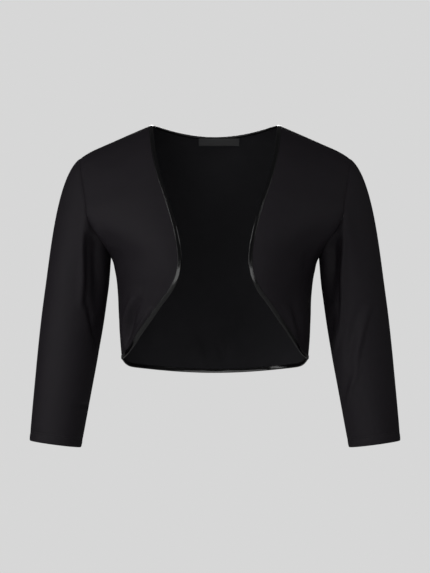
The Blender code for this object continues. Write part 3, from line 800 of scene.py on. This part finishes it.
def sleeve_cap(share, turn):
    """One cubic down each turn, from the armhole, where it leaves outwards over the arm, to the bicep."""
    start = armhole_ring(turn) + np.array([CAP_OFF_ARMHOLE, 0, 0])
    zero = np.zeros_like(turn)
    end = sleeve_ring(zero, turn)
    leave = unit(sleeve_ring(zero + STEP * 10, turn) - end)
    over = (0.5 + 0.5 * np.cos(turn)) ** CAP_OVER_POWER
    out, down = CAP_OUT + CAP_OUT_OVER * over, CAP_DOWN_LESS_OVER * over - 1
    begin = unit(np.stack([out, -CAP_FORWARD * np.sin(turn), down], -1))
    reach = np.linalg.norm(end - start, axis=-1, keepdims=True)
    return hermite(share[:, None, None], start, begin * reach * CAP_START_REACH, end, leave * reach)


# The turned cuff in mm: height above the edge, and how far its outer face and its reverse lie inside the form
CUFF_TURN = np.array([
    (1.6, 0, 0.88),
    (0.8, 0.1, 0.9),
    (0.3, 0.32, 0.92),
    (0, 0.75, 0.95),
    (0, 1.2, 0.98),
    (0.3, 1.65, 1),
    (0.9, 1.86, 1.02),
    (2, 1.92, 1.04),
    (7, 1.92, 1.04),
    (12, 1.92, 1.04),
    (14, 1.92, 1.04),
]) * MM


def sleeve_drops():
    """Distances below the bicep of the sleeve's rows, closer together over the sewn cuff."""
    arm = np.linspace(0, SLEEVE_LENGTH - CUFF_FINE_FROM, ARM_ROWS)
    cuff = np.linspace(SLEEVE_LENGTH - CUFF_FINE_FROM, SLEEVE_LENGTH - CUFF_FINE_TO, CUFF_FINE_ROWS)
    return np.concatenate([arm, cuff[1:]])


def cuff_relief(above, turn):
    """The sewn cuff: a groove under each row, deeper at every stitch, and the hem fuller below them."""
    tugs = 1 - CUFF_TUG + CUFF_TUG * np.sin(turn * CUFF_TUGS)
    groove = sum(bell(above - row, CUFF_GROOVE_WIDE) for row in CUFF_ROWS)
    full = CUFF_FULL * np.sin(np.clip(above / CUFF_ROWS[0], 0, 1) * math.pi)
    return full[:, None] - CUFF_GROOVE * groove[:, None] * tugs


def sleeve_cloth(name, side, table):
    """A tube from the armhole to the cuff, with its creases, then folded back up inside."""
    turn = np.linspace(0, 2 * math.pi, SLEEVE_TURNS + 1)
    cap = sleeve_cap(crowded(2 * CAP_ROWS + 1)[: CAP_ROWS + 1] * 2, turn)
    drops = np.concatenate([sleeve_drops()[1:], SLEEVE_LENGTH - CUFF_TURN[:, 0]])
    arm = np.stack([sleeve_ring(np.full_like(turn, drop), turn) for drop in drops])
    form = np.concatenate([cap, arm])
    wrapped = np.concatenate([form[:, -2:-1], form, form[:, 1:2]], axis=1)
    smooth = len(form) - len(CUFF_TURN)
    normals = grid_normals(wrapped[: smooth + 1])[:, 1:-1]
    ring_centre = form[: smooth + 1, :-1].mean(axis=1, keepdims=True)
    normals *= np.sign((normals * (form[: smooth + 1] - ring_centre)).sum())
    cuff_normals = np.broadcast_to(normals[-1:], (len(CUFF_TURN) - 1, *normals.shape[1:]))
    normals = np.concatenate([normals, cuff_normals])
    from_armhole = from_border(form, form[:1])
    from_cuff = np.abs(SLEEVE_LENGTH - np.concatenate([np.full(len(cap), -1.0), drops]))
    fade = (1 - bell(from_armhole, ARMHOLE_FADE)) * (1 - bell(from_cuff, SEAM_FADE))[:, None]
    degree = math.radians(1) * SLEEVE_CREASE_RADIUS / MM
    table = [(start * degree, high, end * degree, *rest) for start, high, end, *rest in table]
    rise = creases(table, turn[None] * SLEEVE_CREASE_RADIUS, form[..., 2]) * fade
    above_edge = SLEEVE_LENGTH - np.concatenate([np.full(len(cap), 0.0), drops])
    above_edge[-len(CUFF_TURN):] = 0
    rise += cuff_relief(above_edge, turn)
    outer = form + normals * rise[..., None]
    outer += seam_roll(form, form[:1], armhole_into(form[0]))
    inset = np.zeros((len(form), 2))
    inset[:, 1] = JERSEY
    inset[-len(CUFF_TURN):] = CUFF_TURN[:, 1:]
    inner = outer - normals * inset[:, 1, None, None]
    outer = outer - normals * inset[:, 0, None, None]
    along = np.concatenate([[0], np.cumsum(np.linalg.norm(np.diff(outer, axis=0), axis=-1).mean(1))])
    u, v = np.broadcast_arrays(turn[None] * SLEEVE_CREASE_RADIUS * side, -along[:, None])
    uv = np.stack([u, v], -1)
    return cloth(name, outer * (side, 1, 1), inner * (side, 1, 1), uv, closed=True)


# One stitch along its length: share of the length, share of the thread's radius, height off the cloth in mm
STITCH_RINGS = (
    (0.00, 0.30, -0.16),
    (0.12, 0.85, -0.02),
    (0.50, 1.00, 0.05),
    (0.88, 0.85, -0.02),
    (1.00, 0.30, -0.16),
)
STITCH_SIDES = 6
THREAD_RADIUS = 0.17 * MM
THREAD_PLY = 0.30 * MM
THREAD_RING_STEP = 0.5 * MM
THREAD_FUZZ = 900.0
THREAD_RELIEF = 0.05 * MM
THREAD_DARK = (0.0080, 0.0078, 0.0088)
THREAD_LIGHT = (0.0260, 0.0252, 0.0280)


def thread_material():
    """Spun polyester: two plies, whose turns are a slanting wave along the thread."""
    material, shader, start = new_finish("sewing_thread", 0.42, 0.6)
    place, u, v = cloth_coordinates(start)
    plies = ((u + v * 2) / THREAD_PLY * math.pi).wave().size()
    fuzz = start.node("ShaderNodeTexNoise", (), {"Vector": place, "Scale": THREAD_FUZZ, "Detail": 2.0})
    mixed(start, plies * 0.7 + fuzz * 0.3, THREAD_DARK, THREAD_LIGHT).feed(shader, "Base Color")
    bump(start, plies, THREAD_RELIEF, 0.7).feed(shader, "Normal")
    return material


def stitch_rings(line, normal, pitch, share):
    """Rings of points for each stitch of a row: evenly spaced by length, each a share of the pitch long."""
    along = run_length(line)
    count = max(int(along[-1] / pitch), 1)
    first = (np.arange(count) + 0.5 * (1 - share)) * along[-1] / count
    place, radius, height = np.array(STITCH_RINGS).T
    at = first[:, None] + place * share * along[-1] / count
    points, out = (np.stack([np.interp(at, along, part[:, k]) for k in range(3)], -1)
                   for part in (line, normal))
    out = unit(out)
    forward = unit(points[:, -1:] - points[:, :1])
    across = np.cross(forward, out)
    turn = np.linspace(0, 2 * math.pi, STITCH_SIDES, endpoint=False)[:, None]
    section = across[:, :, None] * np.cos(turn) + out[:, :, None] * np.sin(turn)
    core = points + out * height[:, None] * MM
    return core[:, :, None] + section * (radius * THREAD_RADIUS)[:, None, None]


def sewing(name, rows):
    """All the stitches of some rows of (line, normal, pitch, share) as one piece."""
    rings = np.concatenate([stitch_rings(*row) for row in rows])
    count, steps = rings.shape[:2]
    index = np.arange(rings[..., 0].size).reshape(count, steps, STITCH_SIDES)
    after = np.roll(index, -1, axis=2)
    walls = quads(index[:, :-1], after[:, :-1], after[:, 1:], index[:, 1:])
    faces = walls.tolist() + index[:, 0, ::-1].tolist() + index[:, -1].tolist()
    corner = np.array([i for face in faces for i in face])
    turn, step = corner % STITCH_SIDES, corner // STITCH_SIDES % steps
    uv = np.column_stack([turn * THREAD_RADIUS, step * THREAD_RING_STEP])
    piece = smooth_piece(name, rings.reshape(-1, 3), faces, uv)
    outwards = bmesh.new()
    outwards.from_mesh(piece.data)
    bmesh.ops.recalc_face_normals(outwards, faces=outwards.faces)
    outwards.to_mesh(piece.data)
    outwards.free()
    piece.data.materials.append(thread)
    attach(piece, "root")


thread = thread_material()
CUFF_PITCH = 2.6 * MM
CUFF_STITCH_SHARE = 0.80


def cuff_lines(piece):
    """The cuff's two rows of stitches, read from the piece's outer grid at their heights above the edge."""
    points = np.array([corner.co for corner in piece.data.vertices])
    grid = points[: len(points) // 2].reshape(-1, SLEEVE_TURNS, 3)[: -len(CUFF_TURN)]
    drops = np.concatenate([np.zeros(CAP_ROWS), sleeve_drops()])
    rows = []
    for above in CUFF_ROWS:
        at = np.interp(SLEEVE_LENGTH - above, drops[CAP_ROWS:], np.arange(CAP_ROWS, len(grid)))
        line = grid[int(at)] + (grid[int(at) + 1] - grid[int(at)]) * (at - int(at))
        out = unit(line - line.mean(axis=0))
        line, out = (np.vstack([part, part[:1]]) for part in (line, out))
        rows.append((line, out, CUFF_PITCH, CUFF_STITCH_SHARE))
    return rows


for hand, side in HANDS:
    sleeve = sleeve_cloth(f"sleeve_{hand}_cloth", side, SLEEVE_CREASES[side])
    hung(sleeve, f"sleeve_{hand}")
    sewing(f"cuff_{hand}_stitches", cuff_lines(sleeve))


# The satin binding
# A bias strip of polyester satin, folded in half over the raw edge with its own edges turned under, and
# sewn through. It runs up each front, round the back neck and along the back hem.

# Section of the folded strip round the edge: share of its width in from the fold, height off the cloth in mm
BINDING_SECTION = np.array([
    (1.000, 0.06), (1.012, 0.28), (0.985, 0.5), (0.925, 0.58), (0.850, 0.56), (0.760, 0.62),
    (0.600, 0.68), (0.450, 0.7), (0.300, 0.68), (0.180, 0.56), (0.090, 0.26), (0.035, -0.25),
    (0.040, -0.85), (0.100, -1.28), (0.230, -1.54), (0.420, -1.64), (0.600, -1.62), (0.760, -1.54),
    (0.850, -1.46), (0.925, -1.48), (0.985, -1.4), (1.012, -1.2), (1.000, -0.96), (0.700, -0.96),
    (0.300, -0.97), (0.150, -0.8), (0.130, -0.45), (0.160, -0.02), (0.300, 0.05), (0.700, 0.05),
]) * (1, MM)
BINDING_STEP = 1.6 * MM
PUCKER = 0.09
PUCKER_LONG = 3.3 * MM
PUCKER_SWAY = 11.0 * MM
PUCKER_SHORT = 8.1 * MM
FULL_BEYOND = 0.8 * MM
SATIN_FLOAT = 0.32 * MM
SATIN_BREAK = 1.1 * MM
SATIN_CLOUDS = 160.0
SATIN_RELIEF = 0.05 * MM
SATIN_GLOSS = 1.45
SATIN_DARK = (0.0024, 0.0024, 0.0028)
SATIN_LIGHT = (0.0052, 0.0052, 0.0060)
FRONT_BINDING_LENGTH = 0.470
NECK_BINDING_LENGTH = 0.209
HEM_BINDING_LENGTH = 0.370
SHARP_FROM = math.radians(60)


def satin_material():
    """Warp-faced satin cut on the bias: fine slanting floats, and a sharp soft-edged gloss across them."""
    material, shader, start = new_finish("bias_satin", 0.18, 1.0)
    shader.inputs["IOR"].default_value = SATIN_GLOSS
    place, u, v = cloth_coordinates(start)
    floats = ((u + v) / SATIN_FLOAT * math.pi).wave().size()
    breaks = ((u - v) / SATIN_BREAK * math.pi).wave().size()
    uneven = start.node("ShaderNodeTexNoise", (), {"Vector": place, "Scale": SATIN_CLOUDS, "Detail": 3.0})
    weave = floats * 0.7 + breaks * 0.3
    mixed(start, weave * 0.6 + uneven * 0.4, SATIN_DARK, SATIN_LIGHT).feed(shader, "Base Color")
    (uneven * 0.06 + 0.11).feed(shader, "Roughness")
    bump(start, weave * 0.5 + uneven * 1.6, SATIN_RELIEF, 0.28).feed(shader, "Normal")
    return material


satin = satin_material()


def bound_edge(outline, front, turn, count, table):
    """Points on the edge, vectors across the binding's width, and normals, all moved with the creases."""
    lines = []
    for distance in (0, BINDING_WIDTH):
        angle, down = moved_edge(outline, front, turn, distance, np.linspace(0, 1, count)).T
        form, normal = torso(angle, down, front), torso_normal(angle, down, front)
        rise = creases(table, form[:, 0], form[:, 2]) * off_seams(form, (form[0], form[-1]))
        lines.append((form + normal * rise[:, None], normal))
    (points, normal), (inner, _) = lines
    return points, inner - points, normal


def binding(name, edge, side):
    """A closed section carried along the edge, fuller and flatter by two uneven waves, and capped."""
    points, across, normal = edge
    along = run_length(points)
    long_wave = np.sin(along / PUCKER_LONG + np.sin(along / PUCKER_SWAY))
    puff = 1 + PUCKER * (0.6 * long_wave + 0.4 * np.sin(along / PUCKER_SHORT))
    share, rise = BINDING_SECTION.T
    middle = -JERSEY / 2
    rise = middle + (rise - middle)[None] * np.where(np.abs(rise - middle) > FULL_BEYOND, puff[:, None], 1)
    rings = points[:, None] + across[:, None] * share[:, None] + normal[:, None] * rise[..., None]
    rings *= (side, 1, 1)
    rows, columns = rings.shape[:2]
    index = np.arange(rows * columns).reshape(rows, columns)
    round_it = np.column_stack([index, index[:, 0]])
    walls = quads(round_it[:-1, :-1], round_it[:-1, 1:], round_it[1:, 1:], round_it[1:, :-1])
    outwards = (rings - rings.mean(axis=1, keepdims=True))[:-1].reshape(-1, 3)
    flat = rings.reshape(-1, 3)
    faces = walls.tolist() + [index[0, ::-1].tolist(), index[-1].tolist()]
    if inside_out(walls, flat, outwards):
        faces = [face[::-1] for face in faces]
    section = BINDING_SECTION * (BINDING_WIDTH, 1)
    round_length = run_length(np.vstack([section, section[:1]]))
    corner = np.array([i for face in faces for i in face])
    uv = np.column_stack([round_length[corner % columns], along[corner // columns]])
    piece = smooth_piece(name, flat, faces, uv)
    piece.data.set_sharp_from_angle(angle=SHARP_FROM)
    piece.data.materials.append(satin)
    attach(piece, "root")
    return piece


BINDING_PITCH = 2.4 * MM
BINDING_STITCH_SHARE = 0.78
# Rows of stitches: share of the binding's width in from the fold, height off the cloth, which face
BINDING_ROWS = (
    (0.87, 0.60 * MM, 1),
    (0.87, -1.52 * MM, -1),
)


def binding_lines(edge, side):
    """The row of stitches near the inner edge of the binding, on its outer face and on its inner one."""
    points, across, normal = edge
    rows = []
    for share, rise, face in BINDING_ROWS:
        line = (points + across * share + normal * rise) * (side, 1, 1)
        rows.append((line, normal * (side, 1, 1) * face, BINDING_PITCH, BINDING_STITCH_SHARE))
    return rows


# Node, the line it follows, whether in front, to which hand the cloth lies, length, creases, and side
STRIPS = (
    ("binding_front_left", FRONT_OUTLINE, True, -1, FRONT_BINDING_LENGTH, FRONT_CREASES[1], 1),
    ("binding_front_right", FRONT_OUTLINE, True, -1, FRONT_BINDING_LENGTH, FRONT_CREASES[-1], -1),
    ("binding_neck", NECK_OUTLINE, False, 1, NECK_BINDING_LENGTH, (), 1),
    ("binding_hem", HEM_OUTLINE, False, -1, HEM_BINDING_LENGTH, BACK_CREASES, 1),
)
for node, outline, front, turn, length, table, side in STRIPS:
    edge = bound_edge(outline, front, turn, round(length / BINDING_STEP), table)
    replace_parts(binding(f"{node}_satin", edge, side), node)
    sewing(f"{node}_stitches", binding_lines(edge, side))


# The neck label
# A short woven tape, left bare, with its ends turned under and tacked to the back just below the neck
# binding. Its polyester yarn is greyer and brighter than the jersey.

LABEL_WIDTH = 0.060
LABEL_HEIGHT = 0.015
LABEL_CLOTH = 0.45 * MM
LABEL_OFF_CENTRE = 0.006
LABEL_BELOW_EDGE = 1.0 * MM
LABEL_INSIDE = 2.7 * MM
LABEL_BOW = 0.35 * MM
LABEL_COLUMNS = 61
LABEL_ROWS = 13
TAPE_RIB = 0.34 * MM
TAPE_WARP = 0.22 * MM
TAPE_RELIEF = 0.08 * MM
TAPE_DARK = (0.043, 0.043, 0.044)
TAPE_LIGHT = (0.126, 0.126, 0.130)


def tape_material():
    """Damask tape: a fine rib across, crossed by a finer warp."""
    material, shader, start = new_finish("label_tape_weave", 0.42, 0.6)
    _, u, v = cloth_coordinates(start)
    rib = (v / TAPE_RIB * math.pi).wave().size()
    warp = (u / TAPE_WARP * math.pi).wave().size()
    weave = rib * 0.7 + warp * 0.3
    mixed(start, weave, TAPE_DARK, TAPE_LIGHT).feed(shader, "Base Color")
    bump(start, weave, TAPE_RELIEF, 0.6).feed(shader, "Normal")
    return material


x = np.linspace(-LABEL_WIDTH / 2, LABEL_WIDTH / 2, LABEL_COLUMNS)
v = np.linspace(LABEL_HEIGHT, 0, LABEL_ROWS)[:, None]
down = NECK_OUTLINE[FINE, 1] + LABEL_BELOW_EDGE + v + 0 * x
angle = np.arcsin((x + LABEL_OFF_CENTRE) / ring("half_width", down))
bow = LABEL_BOW * np.cos(x / LABEL_WIDTH * math.pi) * np.sin(v / LABEL_HEIGHT * math.pi)
normal = torso_normal(angle, down, False)
facing_in = torso(angle, down, False) - normal * (LABEL_INSIDE + bow)[..., None]
label_uv = np.stack(np.broadcast_arrays(x, -v), -1)
label = cloth("neck_label_tape", facing_in + normal * LABEL_CLOTH, facing_in, label_uv)
label.data.materials.append(tape_material())
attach(label, "root")
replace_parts(label, "neck_label")


# The studio
# A pale round floor at the height of the wearer's feet, a plain backdrop tone, and the camera at chest
# height. Soft lamps: two on the left, two weaker ones on the right, one low by the camera, which puts the
# gloss on the binding, and one behind for the back.

CAMERA_DISTANCE = 3.2
CAMERA_HEIGHT = -0.2357
VIEW_HEIGHT = 0.83371
FLOOR_HEIGHT = -1.40
FLOOR_RADIUS = 2.4
FLOOR_SIDES = 96
FLOOR_TONE = (0.62, 0.62, 0.62, 1)
FLOOR_GLOW = (0.50, 0.50, 0.50)
FLOOR_ROUGHNESS = 0.9
FLOOR_SPECULAR = 0.5
SENSOR = 36
BACKDROP_GREY = 0.680
ROOM_GREY = 0.05
GARMENT_MIDDLE = Vector((0, 0, -0.2))

floor_mesh = bpy.data.meshes.new("floor")
floor_turn = np.linspace(0, 2 * math.pi, FLOOR_SIDES, endpoint=False)
floor_points = np.column_stack([FLOOR_RADIUS * np.cos(floor_turn), FLOOR_RADIUS * np.sin(floor_turn),
                                np.full(FLOOR_SIDES, FLOOR_HEIGHT)])
floor_mesh.from_pydata(floor_points.tolist(), [], [list(range(FLOOR_SIDES))])
floor = placed("floor", floor_mesh)
floor_paint, floor_shader, floor_start = new_finish("pale_floor", FLOOR_ROUGHNESS, FLOOR_SPECULAR)
floor_shader.inputs["Base Color"].default_value = FLOOR_TONE
floor_seen = floor_start.node("ShaderNodeLightPath")
mixed(floor_start, floor_seen, (0, 0, 0), FLOOR_GLOW).feed(floor_shader, "Emission Color")
floor_shader.inputs["Emission Strength"].default_value = 1.0
floor_mesh.materials.append(floor_paint)

world = bpy.data.worlds.new("studio")
bpy.context.scene.world = world
world.use_nodes = True
sky = Socket(world.node_tree)
seen = sky.node("ShaderNodeLightPath")
backdrop = world.node_tree.nodes["Background"]
backdrop.inputs["Color"].default_value = (1, 1, 1, 1)
(seen * (BACKDROP_GREY - ROOM_GREY) + ROOM_GREY).feed(backdrop, "Strength")

# Name, place, width and height, and power in watts of each lamp, which faces the garment's middle
SOFTBOXES = (
    ("key", (-1.75, -1.05, 0.12), (1.0, 1.5), 8.0),
    ("high_left", (-1.35, -1.45, 1.18), (1.0, 1.0), 5.8),
    ("low_front", (-0.30, -2.38, -1.10), (2.0, 1.2), 10.4),
    ("high_right", (1.20, -1.60, 1.10), (1.0, 1.0), 3.4),
    ("right", (2.15, -0.40, 0.55), (1.0, 1.2), 2.6),
    ("behind", (0.00, 2.45, 0.80), (0.8, 1.1), 19.0),
)
for name, place, size, power in SOFTBOXES:
    light = bpy.data.lights.new(name, "AREA")
    light.shape = "RECTANGLE"
    light.size, light.size_y = size
    light.energy = power
    lamp = placed(name, light)
    lamp.location = place
    lamp.rotation_euler = (GARMENT_MIDDLE - Vector(place)).to_track_quat("-Z", "Y").to_euler()

camera_data = bpy.data.cameras.new("camera")
camera = placed("camera", camera_data)
camera.location = (0, -CAMERA_DISTANCE, CAMERA_HEIGHT)
camera.rotation_euler = (QUARTER, 0, 0)
camera_data.sensor_fit = "AUTO"
camera_data.sensor_width = SENSOR
camera_data.lens = SENSOR * CAMERA_DISTANCE / VIEW_HEIGHT
bpy.context.scene.camera = camera
bpy.context.scene.view_settings.view_transform = "Standard"
